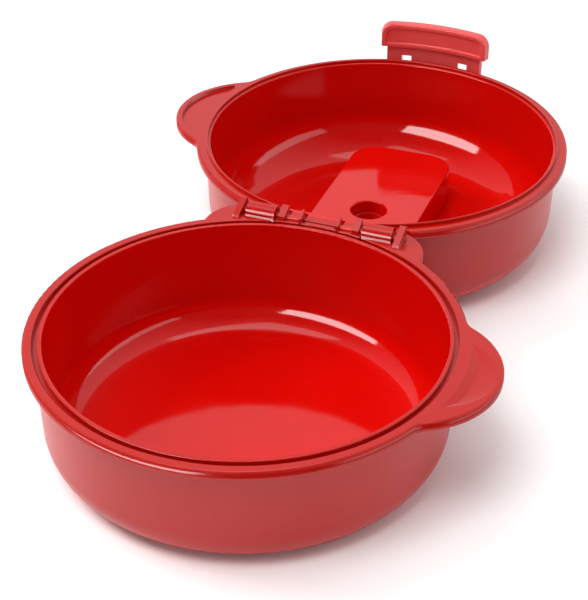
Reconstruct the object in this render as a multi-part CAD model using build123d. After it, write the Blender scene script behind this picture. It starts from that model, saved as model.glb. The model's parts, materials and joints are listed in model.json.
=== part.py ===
"""Two-bowl microwave egg cooker, lid laid open beside the base.

Frame: millimetres, origin at the centre of the base bowl's foot, +Z up, +Y towards the lid.
The lid bowl swings about the hinge line, which runs along X between the two rims.
The latch clip turns about a line along X on the lid's far side, the vent flap about one
under the lid's vent block.
"""
from build123d import *
from math import sqrt
import os

# ---- bowls ----
BOWL_HEIGHT = 35.0        # table to rim, both bowls
RIM_RADIUS = 58.7         # outside of the rim flange
SKIRT_HEIGHT = 2.7        # depth of the rim flange
WALL_RADIUS = 56.0        # outside of the wall, measured at rim height
WALL_DRAFT = 0.035        # the wall leans in by this much per millimetre of depth
FLOOR_THICKNESS = 2.0
BASE_CORNER = 11.0        # outer rounding between wall and floor, base bowl
LID_CORNER = 14.0         # the same on the lid bowl
BASE_INNER_CORNER = 9.0
LID_INNER_CORNER = 16.0
BASE_MOUTH_RADIUS = 53.5
LID_MOUTH_RADIUS = 54.25
RIM_EDGE_ROUND = 0.7
LIP_ROUND = 0.3           # rounding of the lips beside the mouth and the groove
RUNNING_GAP = 0.35        # between moving pieces, wherever they pass each other

# ---- seal: a groove in the base rim, a bead on the lid rim ----
GROOVE_INNER = 54.7
GROOVE_OUTER = 56.0
GROOVE_DEPTH = 1.6
BEAD_INNER = GROOVE_INNER + RUNNING_GAP
BEAD_OUTER = GROOVE_OUTER - RUNNING_GAP
BEAD_HEIGHT = 1.0
BEAD_GAP_ANGLE = 15.0     # the bead stops this far from the hinge, on each side
LID_MOUTH_ROUND = 0.5

# ---- ear handles ----
EAR_TIP = 69.0            # reach from the bowl's centre
EAR_ROUND = 24.6          # radius of the ear's outline
EAR_BLEND = 6.0           # hollow corner where the ear meets the rim
DISH_CENTRE = 52.7        # base ear: middle of the round thumb scoop
DISH_RADIUS = 15.0
DISH_BAND = 11.2          # width of the scoop's trough, inwards from that radius
DISH_DEPTH = 1.3
DISH_EDGE = 59.4          # it stops here, from the bowl's centre, with a slope
DISH_SLOPE = 1.9          # run of that slope, per millimetre of depth
EAR_BORDER = 2.0          # lid ear: rim left around the recess
LID_EAR_RECESS = 1.1      # lid ear: depth of the flat recess

# ---- lid hinge ----
HINGE_Y = 57.5
LID_Y = 2 * HINGE_Y       # centre of the open lid
RIM_GAP = 0.3             # space between the two rims when the lid is shut
HINGE_Z = BOWL_HEIGHT + RIM_GAP / 2
PIN_RADIUS = 0.8
PIN_BORE = PIN_RADIUS + 0.05
EAR_RIB = (23.55, 25.45)  # from and to, along X, on each side
GUSSET = (10.3, 12.35)
FIN = (5.3, 6.1)
KNUCKLE = (13.45, 22.3)
KNUCKLE_RADIUS = 2.8
KNUCKLE_BACK = 1.2        # the knuckle's flat top ends this far behind the hinge line
PIN_SPAN = (FIN[0], EAR_RIB[1])
RIB_EDGE_ROUND = 0.25
RIB_SWEEP = 4.2           # the lid is cut back to this radius around gussets and fins
EAR_RIB_SWEEP = 5.3       # and to this one around the ear ribs
BASE_SWEEP = sqrt(KNUCKLE_BACK ** 2 + KNUCKLE_RADIUS ** 2) + RUNNING_GAP
RIM_TRIM = 0.3            # both flanges are cut straight this far from the hinge line
SHELF_CENTRE = (19.9, 50.0)
SHELF_RADIUS = 13.1
SHELF_DROP = 0.5          # shelf top under the rim
CHORD_Y = 62.6            # straight inner edge of the lid's thickened hinge side
CHORD_HALF = 14.5
CHORD_DEPTH = 4.0

# ---- vent ----
BLOCK_HALF = 16.9         # half width of the raised block inside the lid
BLOCK_END = 31.3          # its end, beyond the lid's centre
BLOCK_TOP = 14.2          # height over the table
BLOCK_CORNER = 9.0
SHELL = 1.8               # thickness of the block's walls
BLOCK_EDGE_ROUND = 0.4
VENT_Y = -10.8            # vent hole, from the lid's centre
VENT_RADIUS = 5.7
VENT_EDGE_ROUND = 0.6
COLLAR_RADIUS = 7.3
COLLAR_BOTTOM = 8.8
PLUG_RADIUS = VENT_RADIUS - RUNNING_GAP
PLUG_BORE = 4.2
PLUG_TOP = 10.4
FLAP_BOTTOM = 5.4
FLAP_TOP = 7.2
FLAP_HALF = 13.0
FLAP_TAB_END = -36.0
FLAP_SHOULDER = 13.0      # the plate narrows here to pass between the lugs
FLAP_CORNER = 5.0
FLAP_AXIS_Y = 18.0
FLAP_AXIS_Z = 9.0
FLAP_BARREL_RADIUS = 2.0
FLAP_BARREL_HALF = 9.8
VENT_LUG = (10.2, 12.4)
VENT_LUG_RADIUS = 2.1

# ---- latch clip ----
LATCH_Y = 61.2            # pivot line, from the lid's centre
LATCH_Z = BOWL_HEIGHT - 3.8
LATCH_LUG = (8.7, 11.3)
LATCH_LUG_RADIUS = 1.6
LATCH_KNUCKLE_RADIUS = 1.5
LATCH_PIN_SPAN = (6.3, 13.7)
WINDOW = (8.3, 11.7)
WINDOW_TOP = BOWL_HEIGHT + 0.7
WEB_INNER, WEB_OUTER = 60.2, 61.8
WEB_BOTTOM = LATCH_Z - 0.9
WEB_HALF_ANGLE = 16.0
HOOK_INNER, HOOK_OUTER = 59.2, 62.6
HOOK_BOTTOM = BOWL_HEIGHT + 4.3
HOOK_TOP = BOWL_HEIGHT + 12.6
HOOK_HALF_ANGLE = 18.0
HOOK_CORNER = 4.0
HOOK_BORDER = 1.5
HOOK_DISH = 0.6
HOOK_EDGE_ROUND = 0.6

SIDES = (-1, 1)


def turned(outline, rounds=(), arc=360):
    """Solid turned about Z from (radius, height) points; rounds are (point, radius)."""
    face = make_face(Polyline(*outline, close=True).edges())
    for (radius, height), rounding in rounds:
        corner = face.vertices().sort_by_distance((radius, height, 0))[0]
        face = fillet(corner, rounding)
    return revolve(Plane.XZ * face, Axis.Z, revolution_arc=arc)


def across(x_from, x_to, outline):
    """Slab between two X stations; outline points are (y, z)."""
    face = make_face(Polyline(*outline, close=True).edges())
    return Pos(x_from, 0, 0) * extrude(Plane.YZ * face, x_to - x_from)


def rod(x_from, x_to, y, z, radius):
    """Round bar along X."""
    length = x_to - x_from
    return Pos((x_from + x_to) / 2, y, z) * Rot(0, 90, 0) * Cylinder(radius, length)


def both_sides(span, side):
    """Span measured outwards from the middle, turned into low and high X on one side."""
    low, high = sorted((side * span[0], side * span[1]))
    return low, high


def block_between(low, high):
    """Box from its lowest to its highest corner."""
    size = [b - a for a, b in zip(low, high)]
    middle = [(a + b) / 2 for a, b in zip(low, high)]
    return Pos(*middle) * Box(*size)


def wall_radius(height, at_rim=WALL_RADIUS):
    """Radius of a drafted wall at a height over the table."""
    return at_rim - WALL_DRAFT * (BOWL_HEIGHT - height)


def bowl_body(corner):
    """Solid of the bowl's outside, under the rim flange."""
    foot = wall_radius(0)
    top = BOWL_HEIGHT - 0.2
    outline = [(0, 0), (foot, 0), (wall_radius(top), top), (0, top)]
    return turned(outline, [((foot, 0), corner)])


def bowl_cavity(mouth, inner_corner):
    """Solid of the bowl's inside, reaching well over the rim."""
    above = BOWL_HEIGHT + 10
    floor = wall_radius(FLOOR_THICKNESS, mouth)
    outline = [
        (0, FLOOR_THICKNESS), (floor, FLOOR_THICKNESS),
        (mouth, BOWL_HEIGHT), (mouth, above), (0, above),
    ]
    return turned(outline, [((floor, FLOOR_THICKNESS), inner_corner)])


def ear_outline(inset=0.0):
    """Round ear reaching out along +X."""
    centre = EAR_TIP - EAR_ROUND
    return Pos(centre, 0) * Circle(EAR_ROUND - inset)


def rim_flange(side):
    """Rim flange with its ear handle on one side, solid across the middle."""
    outline = Circle(RIM_RADIUS) + ear_outline()
    joints = [v for v in outline.vertices() if abs(v.Y) > 1 and v.X > 0]
    outline = fillet(joints, EAR_BLEND)
    flange = extrude(outline, SKIRT_HEIGHT)
    flange = fillet(flange.edges().group_by(Axis.Z)[-1], RIM_EDGE_ROUND)
    flange = fillet(flange.edges().group_by(Axis.Z)[0], RIM_EDGE_ROUND / 3)
    flange = Pos(0, 0, BOWL_HEIGHT - SKIRT_HEIGHT) * flange
    return flange if side > 0 else Rot(0, 0, 180) * flange


def thumb_dish():
    """Round trough in the top of the base's ear, which stops with a slope near the bowl."""
    half_band = DISH_BAND / 2
    section_radius = (half_band ** 2 + DISH_DEPTH ** 2) / (2 * DISH_DEPTH)
    middle = BOWL_HEIGHT - DISH_DEPTH + section_radius
    section = Pos(DISH_RADIUS - half_band, middle) * Circle(section_radius)
    section &= Pos(section_radius, BOWL_HEIGHT - 1) * Rectangle(2 * section_radius, 3.5)
    trough = Pos(DISH_CENTRE, 0, 0) * revolve(Plane.XZ * section, Axis.Z)
    above, below = 1.5, 2.0
    bowl_side = turned([
        (0, BOWL_HEIGHT - below), (DISH_EDGE + DISH_SLOPE * below, BOWL_HEIGHT - below),
        (DISH_EDGE - DISH_SLOPE * above, BOWL_HEIGHT + above), (0, BOWL_HEIGHT + above),
    ])
    return trough - bowl_side


def ear_recess():
    """Flat recess in the top of the lid's ear."""
    zone = ear_outline(EAR_BORDER) - Circle(RIM_RADIUS + 0.4)
    zone = extrude(zone, LID_EAR_RECESS + 1)
    zone = fillet(zone.edges().filter_by(Axis.Z), 1.0)
    return Rot(0, 0, 180) * Pos(0, 0, BOWL_HEIGHT - LID_EAR_RECESS) * zone


def rib_outline(top_line):
    """Side view of one hinge rib; the top line and all else are measured from the hinge line."""
    bottom = -SKIRT_HEIGHT - RIM_GAP / 2
    front, back = top_line[0][0] - 0.3, top_line[-1][0]
    points = [(front, bottom), (front, -RIM_GAP / 2), *top_line, (back, 0), (back - 1.0, bottom)]
    return [(HINGE_Y + y, HINGE_Z + z) for y, z in points]


def hinge_ribs():
    """Ear rib, gusset and thin fin on each side, which carry the hinge pins."""
    shapes = (
        (EAR_RIB, rib_outline([(-4.7, 0.6), (1.7, 2.95), (2.6, 2.9)])),
        (GUSSET, rib_outline([(-2.0, 1.1), (1.4, 2.7), (2.4, 2.65)])),
        (FIN, rib_outline([(-1.5, 1.1), (1.0, 2.6), (1.8, 2.55)])),
    )
    ribs = []
    for side in SIDES:
        for span, outline in shapes:
            rib = across(*both_sides(span, side), outline)
            ribs.append(fillet(rib.edges().filter_by(Axis.X).group_by(Axis.Z)[-1], RIB_EDGE_ROUND))
    return ribs


def hinge_shelves(margin):
    """Round-ended shelves of the base, outside the rim, under the ear ribs."""
    thickness = SKIRT_HEIGHT - SHELF_DROP
    x, y = SHELF_CENTRE
    disc = Cylinder(SHELF_RADIUS + margin, thickness)
    disc = fillet(disc.edges().group_by(Axis.Z)[-1], 0.5)
    height = BOWL_HEIGHT - SKIRT_HEIGHT + thickness / 2
    inside_rim = Cylinder(RIM_RADIUS - 1, 3 * BOWL_HEIGHT)
    return [Pos(side * x, y, height) * disc - inside_rim for side in SIDES]


def circles_at_rim(bowl, radii):
    """Circular edges of a bowl at rim height with any of the given radii."""
    return [
        edge for edge in bowl.edges().filter_by(GeomType.CIRCLE)
        if abs(edge.center(CenterOf.GEOMETRY).Z - BOWL_HEIGHT) < 0.01
        and any(abs(edge.radius - radius) < 0.01 for radius in radii)
    ]


def base_bowl():
    """Lower bowl with its rim groove, ear handle and hinge ribs."""
    groove = turned([
        (GROOVE_INNER, BOWL_HEIGHT - GROOVE_DEPTH), (GROOVE_OUTER, BOWL_HEIGHT - GROOVE_DEPTH),
        (GROOVE_OUTER, BOWL_HEIGHT + 1), (GROOVE_INNER, BOWL_HEIGHT + 1),
    ])
    bowl = bowl_body(BASE_CORNER) + rim_flange(1)
    bowl -= [bowl_cavity(BASE_MOUTH_RADIUS, BASE_INNER_CORNER), groove]
    bowl = fillet(circles_at_rim(bowl, (BASE_MOUTH_RADIUS, GROOVE_INNER, GROOVE_OUTER)), LIP_ROUND)
    bowl += hinge_shelves(0)
    gap = (KNUCKLE[0] - RUNNING_GAP, KNUCKLE[1] + RUNNING_GAP)
    beyond = block_between(
        (-gap[0], HINGE_Y - RIM_TRIM, 0), (gap[0], HINGE_Y + 10, BOWL_HEIGHT + 5)
    )
    bowl -= [thumb_dish(), beyond]
    for side in SIDES:
        low, high = both_sides(gap, side)
        bowl -= rod(low, high, HINGE_Y, HINGE_Z, BASE_SWEEP)
        bowl -= block_between(
            (low, HINGE_Y, BOWL_HEIGHT - SKIRT_HEIGHT - 1), (high, HINGE_Y + 10, HINGE_Z)
        )
    bowl += hinge_ribs()
    for side in SIDES:
        low, high = both_sides(PIN_SPAN, side)
        bowl -= rod(low - 1, high + 1, HINGE_Y, HINGE_Z, PIN_RADIUS)
    return bowl


def hinge_pin(side):
    """Pin through ear rib, lid knuckle, gusset and fin."""
    low, high = both_sides(PIN_SPAN, side)
    pin = rod(low, high, HINGE_Y, HINGE_Z, PIN_RADIUS)
    return chamfer(pin.edges().filter_by(GeomType.CIRCLE), 0.15)


def lid_knuckles():
    """Hinge barrels of the lid, each with a flat-topped arm to the lid's rim."""
    reach = 8.0
    bottom = -SKIRT_HEIGHT - RIM_GAP / 2
    arm = [
        (0, -KNUCKLE_RADIUS), (2.5, bottom), (reach, bottom), (reach, -RIM_GAP / 2),
        (KNUCKLE_BACK + 0.5, -RIM_GAP / 2), (KNUCKLE_BACK, KNUCKLE_RADIUS - 0.3),
        (KNUCKLE_BACK - 0.3, KNUCKLE_RADIUS), (0, KNUCKLE_RADIUS),
    ]
    arm = [(HINGE_Y + y, HINGE_Z + z) for y, z in arm]
    knuckles = []
    for side in SIDES:
        low, high = both_sides(KNUCKLE, side)
        knuckles.append(rod(low, high, HINGE_Y, HINGE_Z, KNUCKLE_RADIUS))
        knuckles.append(across(low, high, arm))
    return knuckles


def vent_block():
    """Raised block inside the lid, from the hinge-side wall past the centre."""
    half, end = BLOCK_HALF, BLOCK_END
    block = block_between((-half, -RIM_RADIUS, 0), (half, end, BLOCK_TOP))
    corners = block.edges().filter_by(Axis.Z).group_by(Axis.Y)[-1]
    block = fillet(corners, BLOCK_CORNER)
    return fillet(block.edges().group_by(Axis.Z)[-1], BLOCK_EDGE_ROUND)


def vent_pocket():
    """Hollow under the vent block, open to the table and to the hinge side."""
    half, end = BLOCK_HALF - SHELL, BLOCK_END - SHELL
    pocket = block_between((-half, -RIM_RADIUS - 5, -1), (half, end, BLOCK_TOP - SHELL))
    corners = pocket.edges().filter_by(Axis.Z).group_by(Axis.Y)[-1]
    return fillet(corners, BLOCK_CORNER - SHELL)


def vent_lugs():
    """Two lugs that hang in the pocket and carry the flap's pin."""
    y, radius = FLAP_AXIS_Y, VENT_LUG_RADIUS
    lugs = []
    for side in SIDES:
        low, high = both_sides(VENT_LUG, side)
        lugs.append(rod(low, high, y, FLAP_AXIS_Z, radius))
        ceiling = BLOCK_TOP - SHELL / 2
        lugs.append(block_between((low, y - radius, FLAP_AXIS_Z), (high, y + radius, ceiling)))
    return lugs


def latch_lugs():
    """Two lugs on the far side of the lid's rim, which carry the latch pins."""
    lugs = []
    for side in SIDES:
        low, high = both_sides(LATCH_LUG, side)
        lugs.append(rod(low, high, LATCH_Y, LATCH_Z, LATCH_LUG_RADIUS))
        stem_low, stem_high = LATCH_Z - 0.7, LATCH_Z + 1.5
        lugs.append(block_between((low, WALL_RADIUS - 1, stem_low), (high, LATCH_Y, stem_high)))
    return lugs


def lid_seal_bead():
    """Raised bead on the lid's rim that enters the base's groove."""
    low = BOWL_HEIGHT - 1
    high = BOWL_HEIGHT + BEAD_HEIGHT
    bead = turned(
        [(BEAD_INNER, low), (BEAD_OUTER, low), (BEAD_OUTER, high), (BEAD_INNER, high)],
        [((BEAD_INNER, high), 0.25), ((BEAD_OUTER, high), 0.25)],
        arc=360 - 2 * BEAD_GAP_ANGLE,
    )
    return Rot(0, 0, BEAD_GAP_ANGLE - 90) * bead


def lid_bowl():
    """Upper bowl, laid open: rim bead, ear, vent block with pocket, hinge and latch lugs."""
    outside = bowl_body(LID_CORNER) + rim_flange(-1)
    inside = bowl_cavity(LID_MOUTH_RADIUS, LID_INNER_CORNER) - vent_block()
    vent_hole = Pos(0, VENT_Y, BLOCK_TOP) * Cylinder(VENT_RADIUS, 12)
    collar_high = BLOCK_TOP - SHELL / 2
    collar = Cylinder(COLLAR_RADIUS, collar_high - COLLAR_BOTTOM)
    collar = Pos(0, VENT_Y, (collar_high + COLLAR_BOTTOM) / 2) * collar

    lid = outside - inside
    lid = fillet(circles_at_rim(lid, [LID_MOUTH_RADIUS]), LID_MOUTH_ROUND)
    lid += lid_seal_bead()
    lid -= vent_pocket()
    lid += [collar] + vent_lugs()
    lid -= [vent_hole, ear_recess()]
    hole_edges = lid.edges().filter_by(GeomType.CIRCLE)
    hole_edge = hole_edges.sort_by_distance((VENT_RADIUS, VENT_Y, BLOCK_TOP))[0]
    lid = fillet(hole_edge, VENT_EDGE_ROUND)
    lid -= rod(-VENT_LUG[1] - 0.1, VENT_LUG[1] + 0.1, FLAP_AXIS_Y, FLAP_AXIS_Z, PIN_RADIUS)
    lid += latch_lugs()
    for side in SIDES:
        low, high = both_sides(LATCH_LUG, side)
        lid -= rod(low - 0.1, high + 0.1, LATCH_Y, LATCH_Z, PIN_BORE)
    lid = Pos(0, LID_Y, 0) * lid
    return lid_hinge_side(lid)


def lid_hinge_side(lid):
    """Thicken the lid's rim at the hinge, cut it back around the base's ribs, add knuckles."""
    inside_wall = Pos(0, LID_Y, BOWL_HEIGHT / 2) * Cylinder(LID_MOUTH_RADIUS + 0.3, BOWL_HEIGHT)
    low = BOWL_HEIGHT - CHORD_DEPTH
    chord = across(-CHORD_HALF, CHORD_HALF, [
        (HINGE_Y, low - 3), (CHORD_Y, low), (CHORD_Y, BOWL_HEIGHT), (HINGE_Y, BOWL_HEIGHT),
    ])
    lid += chord & inside_wall
    lid -= block_between((-30, 0, 0), (30, HINGE_Y + RIM_TRIM, BOWL_HEIGHT + 5))
    for side in SIDES:
        for rib, sweep in ((FIN, RIB_SWEEP), (GUSSET, RIB_SWEEP), (EAR_RIB, EAR_RIB_SWEEP)):
            low, high = both_sides((rib[0] - RUNNING_GAP, rib[1] + RUNNING_GAP), side)
            lid -= rod(low, high, HINGE_Y, HINGE_Z, sweep)
        pin_way = (FIN[1], EAR_RIB[0])
        lid -= rod(*both_sides(pin_way, side), HINGE_Y, HINGE_Z, PIN_RADIUS + RUNNING_GAP)
        low, high = both_sides((KNUCKLE[1], SHELF_CENTRE[0] + SHELF_RADIUS + 5), side)
        for shelf in hinge_shelves(RUNNING_GAP):
            room = shelf + Pos(0, 0, SHELF_DROP) * shelf
            lid -= room & block_between((low, 0, 0), (high, LID_Y, BOWL_HEIGHT + 5))
    mouth = Pos(0, LID_Y, BOWL_HEIGHT) * Cylinder(LID_MOUTH_RADIUS + LID_MOUTH_ROUND, 30)
    lid += [knuckle - mouth for knuckle in lid_knuckles()]
    for side in SIDES:
        low, high = both_sides(KNUCKLE, side)
        lid -= rod(low - 0.1, high + 0.1, HINGE_Y, HINGE_Z, PIN_BORE)
    return lid


def vent_flap():
    """Flap in the pocket under the vent block, with a hollow plug for the vent hole."""
    plate = block_between((-FLAP_HALF, FLAP_TAB_END, FLAP_BOTTOM),
                          (FLAP_HALF, FLAP_SHOULDER, FLAP_TOP))
    plate = fillet(plate.edges().filter_by(Axis.Z), FLAP_CORNER)
    neck = block_between((-FLAP_BARREL_HALF, FLAP_SHOULDER - 6, FLAP_BOTTOM),
                         (FLAP_BARREL_HALF, FLAP_AXIS_Y, FLAP_TOP))
    root = block_between((-FLAP_BARREL_HALF, FLAP_AXIS_Y - 1.2, FLAP_BOTTOM),
                         (FLAP_BARREL_HALF, FLAP_AXIS_Y + 1.2, FLAP_AXIS_Z))
    barrel = rod(-FLAP_BARREL_HALF, FLAP_BARREL_HALF, FLAP_AXIS_Y, FLAP_AXIS_Z,
                 FLAP_BARREL_RADIUS)
    plug_low = FLAP_BOTTOM + 0.5
    plug = Pos(0, VENT_Y, (plug_low + PLUG_TOP) / 2) * Cylinder(PLUG_RADIUS, PLUG_TOP - plug_low)
    plug = fillet(plug.edges().group_by(Axis.Z)[-1], 0.4)
    hollow = Cylinder(PLUG_BORE, PLUG_TOP - FLAP_TOP + 1)
    hollow = Pos(0, VENT_Y, (PLUG_TOP + FLAP_TOP + 1) / 2) * hollow
    flap = plate + neck + root + barrel + plug - hollow
    flap -= rod(-FLAP_BARREL_HALF - 1, FLAP_BARREL_HALF + 1, FLAP_AXIS_Y, FLAP_AXIS_Z, PIN_BORE)
    return Pos(0, LID_Y, 0) * flap


def vent_pin():
    """Pin of the vent flap, held in the lid's two lugs."""
    return rod(-VENT_LUG[1], VENT_LUG[1], LID_Y + FLAP_AXIS_Y, FLAP_AXIS_Z, PIN_RADIUS)


def arc_slab(inner, outer, half_angle, low, high):
    """Part of a ring about Z, centred on +Y."""
    ring = Cylinder(outer, high - low) - Cylinder(inner, high - low)
    wedge_far = 2 * outer
    edge = Vector(0, wedge_far).rotate(Axis.Z, half_angle)
    wedge = make_face(Polyline((0, 0), (edge.X, edge.Y), (-edge.X, edge.Y), close=True).edges())
    wedge = extrude(wedge, high - low)
    return Pos(0, 0, (low + high) / 2) * ring & Pos(0, 0, low) * wedge


def latch_clip():
    """Curved clip: a thin web on two pivots, and a thick hook bar with a dished face."""
    hook = arc_slab(HOOK_INNER, HOOK_OUTER, HOOK_HALF_ANGLE, HOOK_BOTTOM, HOOK_TOP)
    radial = [
        e for e in hook.edges().filter_by(GeomType.LINE)
        if abs(e.center().Z - HOOK_TOP) < 0.01
    ]
    hook = fillet(radial, HOOK_CORNER)
    hook = fillet(hook.faces().sort_by(Axis.Z)[-1].edges(), HOOK_EDGE_ROUND)

    border_angle = HOOK_HALF_ANGLE * (1 - HOOK_BORDER / (HOOK_INNER * 0.3))
    dish = arc_slab(HOOK_INNER - 1, HOOK_INNER + HOOK_DISH, border_angle,
                    HOOK_BOTTOM + HOOK_BORDER * 0.6, HOOK_TOP - HOOK_BORDER)
    radial = [
        e for e in dish.edges().filter_by(GeomType.LINE)
        if abs(e.center().Z - (HOOK_TOP - HOOK_BORDER)) < 0.01
    ]
    dish = fillet(radial, HOOK_CORNER - HOOK_BORDER)
    dish = fillet(dish.faces().filter_by(GeomType.CYLINDER).sort_by(SortBy.AREA)[-1].edges(), 0.5)

    web = arc_slab(WEB_INNER, WEB_OUTER, WEB_HALF_ANGLE, WEB_BOTTOM, HOOK_BOTTOM + 1)
    clip = hook - dish + web
    for side in SIDES:
        low, high = both_sides(LATCH_PIN_SPAN, side)
        clip += rod(low, high, LATCH_Y, LATCH_Z, LATCH_KNUCKLE_RADIUS)
        low, high = both_sides(WINDOW, side)
        clip -= block_between((low, RIM_RADIUS - 4, WEB_BOTTOM - 2), (high, 66, WINDOW_TOP))
        low, high = both_sides(LATCH_PIN_SPAN, side)
        clip -= rod(low - 1, high + 1, LATCH_Y, LATCH_Z, PIN_RADIUS)
    return Pos(0, LID_Y, 0) * clip


def latch_pin(side):
    """Short pin through one latch lug and the clip's knuckles on both sides of it."""
    low, high = both_sides(LATCH_PIN_SPAN, side)
    return rod(low, high, LID_Y + LATCH_Y, LATCH_Z, PIN_RADIUS)


nodes = {
    "base_bowl": base_bowl(),
    "hinge_pin_left": hinge_pin(-1),
    "hinge_pin_right": hinge_pin(1),
    "lid_bowl": lid_bowl(),
    "vent_flap": vent_flap(),
    "vent_pin": vent_pin(),
    "latch_clip": latch_clip(),
    "latch_pin_left": latch_pin(-1),
    "latch_pin_right": latch_pin(1),
}

os.makedirs("parts", exist_ok=True)
for name, shape in nodes.items():
    export_step(shape, f"parts/{name}.step")
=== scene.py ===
"""Visual model of an open two-bowl egg cooker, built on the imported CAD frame. Metres."""
import json
from math import cos, radians, sin

import bpy
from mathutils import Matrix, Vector

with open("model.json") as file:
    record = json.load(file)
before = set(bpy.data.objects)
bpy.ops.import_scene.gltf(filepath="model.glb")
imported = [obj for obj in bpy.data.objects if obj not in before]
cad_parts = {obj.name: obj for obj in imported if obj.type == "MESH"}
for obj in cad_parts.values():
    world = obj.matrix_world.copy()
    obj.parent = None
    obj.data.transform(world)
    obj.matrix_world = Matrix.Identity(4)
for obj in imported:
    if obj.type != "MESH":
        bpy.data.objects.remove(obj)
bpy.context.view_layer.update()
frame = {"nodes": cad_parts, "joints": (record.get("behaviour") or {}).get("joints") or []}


def joint_position(name):
    """Place of a joint's axis in the frame."""
    joint = next(j for j in frame["joints"] if j["name"] == name)
    return Vector(joint["pos_m"])


BASE_Y = 0.0
LID_Y = 2 * joint_position("lid_hinge").y
RIM_Z = 0.035
FLANGE_RADIUS = 0.0587
FLANGE_DEPTH = 0.0027
FLOOR_Z = 0.0018           # inner floor of a bowl
BASE_MOUTH = 0.0535        # inner radius of a bowl just under its rim
LID_MOUTH = 0.0542
MOUTH_Z = 0.0346
WALL_DRAFT = 0.035         # outward lean of a bowl's wall, as a slope
IOR = 1.49

STUDIO_MIDDLE = Vector((0, LID_Y / 2, 0.02))
STUDIO_RADIUS = 1.3


# ---- camera, lights, floor ----
def aim(obj, target):
    """Turn an object so that its -Z points at the target."""
    obj.rotation_euler = (target - obj.location).to_track_quat("-Z", "Y").to_euler()


def direction(azimuth, elevation):
    """Unit vector; azimuth in degrees from +Y towards +X, elevation from level."""
    azimuth, elevation = radians(azimuth), radians(elevation)
    return Vector((
        sin(azimuth) * cos(elevation), cos(azimuth) * cos(elevation), sin(elevation)
    ))


def place_in_studio(obj, azimuth, elevation):
    """Put an object on the studio's dome, facing the middle."""
    obj.location = STUDIO_MIDDLE + STUDIO_RADIUS * direction(azimuth, elevation)
    aim(obj, STUDIO_MIDDLE)


def add_camera():
    """Camera in front of the base bowl, above it and to its right."""
    target = Vector((0.0069, 0.0175, RIM_Z))
    data = bpy.data.cameras.new("camera")
    data.sensor_width = 36.0
    data.lens = 97.3
    data.clip_start, data.clip_end = 0.01, 20
    camera = bpy.data.objects.new("camera", data)
    bpy.context.collection.objects.link(camera)
    camera.location = target + 0.4383 * direction(180 - 20.53, 33.62)
    aim(camera, target)
    bpy.context.scene.camera = camera


def add_shine_card(name, azimuth, elevation, size, strength):
    """Bright card that only shows as a first reflection in polished plastic."""
    half_wide, half_high = size[0] / 2, size[1] / 2
    mesh = bpy.data.meshes.new(name)
    corners = [(-half_wide, -half_high, 0), (half_wide, -half_high, 0),
               (half_wide, half_high, 0), (-half_wide, half_high, 0)]
    mesh.from_pydata(corners, [], [(0, 1, 2, 3)])
    card = bpy.data.objects.new(name, mesh)
    bpy.context.collection.objects.link(card)
    place_in_studio(card, azimuth, elevation)
    material = bpy.data.materials.new(name)
    material.use_nodes = True
    nodes, links = material.node_tree.nodes, material.node_tree.links
    nodes.clear()
    glow = nodes.new("ShaderNodeEmission")
    first_mirror = nodes.new("ShaderNodeMath")
    first_mirror.operation = "LESS_THAN"
    links.new(nodes.new("ShaderNodeLightPath").outputs["Glossy Depth"], first_mirror.inputs[0])
    first_mirror.inputs[1].default_value = 1.5
    dimmer = nodes.new("ShaderNodeMath")
    dimmer.operation = "MULTIPLY"
    links.new(first_mirror.outputs[0], dimmer.inputs[0])
    dimmer.inputs[1].default_value = strength
    links.new(dimmer.outputs[0], glow.inputs["Strength"])
    links.new(glow.outputs[0], nodes.new("ShaderNodeOutputMaterial").inputs["Surface"])
    mesh.materials.append(material)
    card.visible_camera = card.visible_diffuse = card.visible_shadow = False


def add_soft_box(name, azimuth, elevation, size, watts, shows_in_gloss=True):
    """Soft rectangular lamp that points at the middle of the object."""
    data = bpy.data.lights.new(name, "AREA")
    data.shape = "RECTANGLE"
    data.size, data.size_y = size
    data.energy = watts
    lamp = bpy.data.objects.new(name, data)
    bpy.context.collection.objects.link(lamp)
    place_in_studio(lamp, azimuth, elevation)
    lamp.visible_glossy = shows_in_gloss


def add_floor():
    """Wide, pale, nearly matt floor."""
    bpy.ops.mesh.primitive_plane_add(size=8, location=(0, 0, 0))
    floor = bpy.context.object
    floor.name = "floor"
    material = bpy.data.materials.new("floor_white")
    material.use_nodes = True
    shader = material.node_tree.nodes["Principled BSDF"]
    shader.inputs["Base Color"].default_value = (0.96, 0.96, 0.96, 1)
    shader.inputs["Roughness"].default_value = 0.7
    shader.inputs["Specular IOR Level"].default_value = 0.2
    floor.data.materials.append(material)


def add_world():
    """White surroundings, brighter behind the lid than behind the camera."""
    world = bpy.data.worlds.new("white_studio")
    bpy.context.scene.world = world
    world.use_nodes = True
    nodes, links = world.node_tree.nodes, world.node_tree.links
    background = nodes["Background"]
    background.inputs["Color"].default_value = (1, 1, 1, 1)
    parts = nodes.new("ShaderNodeSeparateXYZ")
    links.new(nodes.new("ShaderNodeTexCoord").outputs["Generated"], parts.inputs[0])
    paler_behind = nodes.new("ShaderNodeMapRange")
    paler_behind.inputs["From Min"].default_value = -0.5
    paler_behind.inputs["From Max"].default_value = 0.5
    paler_behind.inputs["To Min"].default_value = 0.10
    paler_behind.inputs["To Max"].default_value = 0.85
    links.new(parts.outputs[1], paler_behind.inputs["Value"])
    links.new(paler_behind.outputs["Result"], background.inputs["Strength"])


def add_lights():
    """Soft boxes, and the window that gives the bowls their bright crescents."""
    window = (-149, 24, (1.38, 0.53))
    add_soft_box("front_top", -168, 64, (0.7, 0.5), 8.5, shows_in_gloss=False)
    add_soft_box("overhead", -60, 84, (0.9, 0.7), 3.4)
    add_soft_box("key", -92, 38, (0.6, 0.6), 9, shows_in_gloss=False)
    add_soft_box("fill", 80, 21, (1.9, 0.41), 4.0)
    add_soft_box("window", *window, 2, shows_in_gloss=False)
    add_shine_card("window_card", *window, 11.0)


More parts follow.
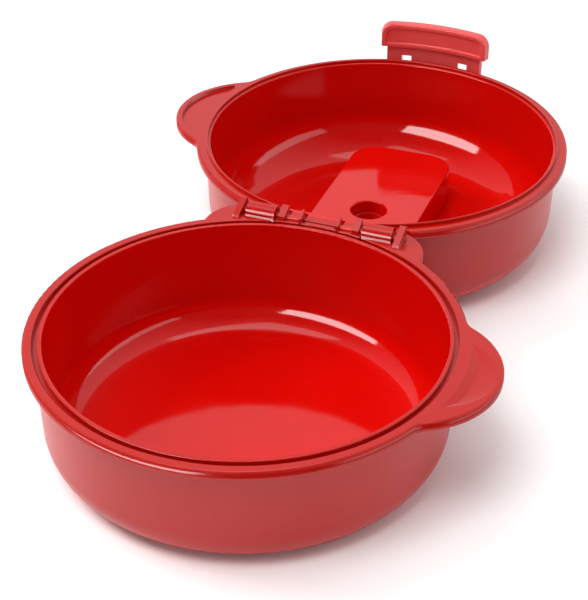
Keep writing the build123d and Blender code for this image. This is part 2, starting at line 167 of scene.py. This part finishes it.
# ---- materials ----
class Shader:
    """Small helper for building one material's nodes."""

    def __init__(self, name):
        self.material = bpy.data.materials.new(name)
        self.material.use_nodes = True
        self.tree = self.material.node_tree
        self.main = self.tree.nodes["Principled BSDF"]
        self.place = self.add("ShaderNodeTexCoord").outputs["Object"]

    def add(self, kind, **values):
        """New node; values are set as properties or as input sockets."""
        node = self.tree.nodes.new(kind)
        for key, value in values.items():
            if hasattr(node, key):
                setattr(node, key, value)
            else:
                node.inputs[key.replace("_", " ")].default_value = value
        return node

    def link(self, output, socket):
        self.tree.links.new(output, socket)

    def math(self, operation, a, b=None):
        """Result of one maths node; a and b are outputs or numbers."""
        node = self.add("ShaderNodeMath", operation=operation)
        for socket, value in zip(node.inputs, (a, b)):
            if value is None:
                continue
            if isinstance(value, (int, float)):
                socket.default_value = value
            else:
                self.link(value, socket)
        return node.outputs[0]

    def noise(self, scale, detail, vector=None, rough=0.5):
        """Noise value from 0 to 1."""
        node = self.add("ShaderNodeTexNoise", Scale=scale, Detail=detail, Roughness=rough)
        self.link(vector or self.place, node.inputs["Vector"])
        return node.outputs["Fac"]

    def remap(self, value, from_low, from_high, to_low, to_high):
        """Clamped linear change of range."""
        node = self.add("ShaderNodeMapRange")
        self.link(value, node.inputs["Value"])
        for label, number in zip(
            ("From Min", "From Max", "To Min", "To Max"), (from_low, from_high, to_low, to_high)
        ):
            node.inputs[label].default_value = number
        return node.outputs["Result"]

    def mix(self, factor, a, b):
        """Colour between a and b; each an output or an RGB triple."""
        node = self.add("ShaderNodeMix", data_type="RGBA")
        self.link(factor, node.inputs["Factor"])
        for socket, value in zip((node.inputs[6], node.inputs[7]), (a, b)):
            if isinstance(value, tuple):
                socket.default_value = (*value, 1)
            else:
                self.link(value, socket)
        return node.outputs[2]

    def bump(self, height, distance, strength, under=None):
        """Normal output of a bump node, on top of another one if given."""
        node = self.add("ShaderNodeBump", Strength=strength, Distance=distance)
        self.link(height, node.inputs["Height"])
        if under is not None:
            self.link(under, node.inputs["Normal"])
        return node.outputs["Normal"]

    def leaning_up(self, where, amount):
        """Surface normal that leans towards the piece's own +Z, as on a crowned edge."""
        up = self.add("ShaderNodeVectorTransform", vector_type="VECTOR",
                      convert_from="OBJECT", convert_to="WORLD")
        up.inputs[0].default_value = (0, 0, 1)
        lean = self.add("ShaderNodeVectorMath", operation="SCALE")
        self.link(up.outputs[0], lean.inputs[0])
        self.link(self.math("MULTIPLY", where, amount), lean.inputs["Scale"])
        total = self.add("ShaderNodeVectorMath", operation="ADD")
        self.link(self.add("ShaderNodeNewGeometry").outputs["Normal"], total.inputs[0])
        self.link(lean.outputs[0], total.inputs[1])
        unit = self.add("ShaderNodeVectorMath", operation="NORMALIZE")
        self.link(total.outputs[0], unit.inputs[0])
        return unit.outputs[0]

    def around(self, centre_y):
        """Radius from a bowl's upright axis, height, and the direction around it."""
        parts = self.add("ShaderNodeSeparateXYZ")
        self.link(self.place, parts.inputs[0])
        x, y, z = parts.outputs
        y = self.math("SUBTRACT", y, centre_y)
        squares = self.math("ADD", self.math("MULTIPLY", x, x), self.math("MULTIPLY", y, y))
        radius = self.math("SQRT", squares)
        safe = self.math("MAXIMUM", radius, 0.002)
        spoke = self.add("ShaderNodeCombineXYZ")
        self.link(self.math("DIVIDE", x, safe), spoke.inputs[0])
        self.link(self.math("DIVIDE", y, safe), spoke.inputs[1])
        self.link(self.math("MULTIPLY", radius, 9.0), spoke.inputs[2])
        return radius, z, spoke.outputs[0]


def darker(color):
    """Slightly deeper tone of a colour."""
    return tuple(0.92 * c for c in color)


def bowl_plastic(name, inside_painted_light_color, outside_painted_shade_color, centre_y, mouth):
    """Moulded bowl: polished inside, satin outside, glossier rim, with faint flow marks; its
    inside colour is painted lighter and its outside darker, painted light and painted shade on
    one red.
    """
    sh = Shader(name)
    radius, height, spoke = sh.around(centre_y)
    wall = sh.math("SUBTRACT", radius, sh.math("MULTIPLY", height, WALL_DRAFT))
    inner_wall = mouth - MOUTH_Z * WALL_DRAFT
    inside = sh.remap(wall, inner_wall - 0.0002, inner_wall + 0.0008, 1, 0)
    above_floor = sh.remap(height, FLOOR_Z - 0.0002, FLOOR_Z + 0.0001, 0, 1)
    inside = sh.math("MULTIPLY", inside, above_floor)

    flow = sh.noise(2.2, 3, spoke)
    cloud = sh.noise(26, 3)
    shade = sh.math("ADD", sh.math("MULTIPLY", flow, 0.6), sh.math("MULTIPLY", cloud, 0.4))
    mottle = sh.remap(shade, 0.35, 0.68, 0, 1)
    # Lit and shaded copies of one red: painted light on the inside, painted shade on the
    # outside, each with the same random mottle.
    outer_painted_shade_color = sh.mix(mottle, darker(outside_painted_shade_color), outside_painted_shade_color)
    inner_painted_light_color = sh.mix(mottle, darker(inside_painted_light_color), inside_painted_light_color)
    sh.link(sh.mix(inside, outer_painted_shade_color, inner_painted_light_color), sh.main.inputs["Base Color"])

    patches = sh.noise(55, 4)
    fine = sh.noise(900, 2)
    polished = sh.remap(sh.math("ADD", patches, flow), 0.7, 1.3, 0.055, 0.10)
    flange_foot = RIM_Z - FLANGE_DEPTH
    on_rim = sh.remap(height, flange_foot - 0.0001, flange_foot + 0.0001, 0, 1)
    satin = sh.remap(patches, 0.3, 0.7, 0.30, 0.35)
    rim_gloss = sh.remap(patches, 0.3, 0.7, 0.15, 0.20)
    outer = sh.add("ShaderNodeMix", data_type="FLOAT")
    sh.link(on_rim, outer.inputs[0])
    sh.link(satin, outer.inputs[2])
    sh.link(rim_gloss, outer.inputs[3])
    rough = sh.add("ShaderNodeMix", data_type="FLOAT")
    sh.link(inside, rough.inputs[0])
    sh.link(outer.outputs[0], rough.inputs[2])
    sh.link(polished, rough.inputs[3])
    sh.link(rough.outputs[0], sh.main.inputs["Roughness"])

    below_top = sh.remap(height, RIM_Z + 0.0002, RIM_Z + 0.0006, 1, 0)
    flange_side = sh.math("MULTIPLY", sh.math("MULTIPLY", on_rim, below_top),
                          sh.remap(radius, FLANGE_RADIUS - 0.0003, FLANGE_RADIUS - 0.0001, 0, 1))
    crowned = sh.leaning_up(flange_side,
                            sh.remap(height, flange_foot + 0.0001, RIM_Z - 0.0008, 0.12, 0.70))
    grain_height = sh.math("MULTIPLY", fine, sh.remap(inside, 0, 1, 1.0, 0.06))
    grain = sh.bump(grain_height, 0.00002, 0.12, crowned)
    waves = sh.bump(sh.noise(3.0, 1, spoke), 0.0003, 0.08, grain)
    sh.link(waves, sh.main.inputs["Normal"])
    sh.main.inputs["IOR"].default_value = IOR
    return sh.material


def satin_plastic(name, color, deep, roughness, grain):
    """Small moulded piece: satin finish with fine grain and slightly uneven colour."""
    sh = Shader(name)
    cloud = sh.noise(45, 4)
    sh.link(sh.mix(sh.remap(cloud, 0.35, 0.65, 0, 1), deep, color), sh.main.inputs["Base Color"])
    patches = sh.noise(120, 3)
    sh.link(sh.remap(patches, 0.3, 0.7, roughness * 0.88, roughness * 1.1),
            sh.main.inputs["Roughness"])
    fine = sh.bump(sh.noise(1100, 2), 0.00006, grain)
    sh.link(sh.bump(sh.noise(70, 2), 0.0003, 0.08, fine), sh.main.inputs["Normal"])
    sh.main.inputs["IOR"].default_value = IOR
    return sh.material


add_camera()
add_floor()
add_world()
add_lights()

# One red in two copies: the inside is painted lighter (painted light) and the outside darker
# (painted shade).
INSIDE_RED_PAINTED_LIGHT = (0.60, 0.002, 0.0005)
OUTSIDE_RED_PAINTED_SHADE = (0.44, 0.004, 0.001)
base_red = bowl_plastic("base_red", INSIDE_RED_PAINTED_LIGHT, OUTSIDE_RED_PAINTED_SHADE, BASE_Y, BASE_MOUTH)
lid_red = bowl_plastic("lid_red", INSIDE_RED_PAINTED_LIGHT, OUTSIDE_RED_PAINTED_SHADE, LID_Y, LID_MOUTH)
# The clip's paler, pinker red is a painted sheen: a reflection of white put into its colour.
clip_red_painted_sheen = satin_plastic("clip_red_painted_sheen", (0.76, 0.085, 0.082), (0.70, 0.066, 0.063), 0.34, 0.5)
flap_red = satin_plastic("flap_red", (0.54, 0.006, 0.002), (0.48, 0.003, 0.001), 0.22, 0.3)
pin_red = satin_plastic("pin_red", (0.62, 0.020, 0.012), (0.56, 0.012, 0.006), 0.26, 0.6)

finishes = {
    "base_bowl": base_red, "lid_bowl": lid_red, "latch_clip": clip_red_painted_sheen, "vent_flap": flap_red,
}
for name, node in frame["nodes"].items():
    node.data.materials.clear()
    node.data.materials.append(finishes.get(name, pin_red))

bpy.context.scene.view_settings.view_transform = "Standard"
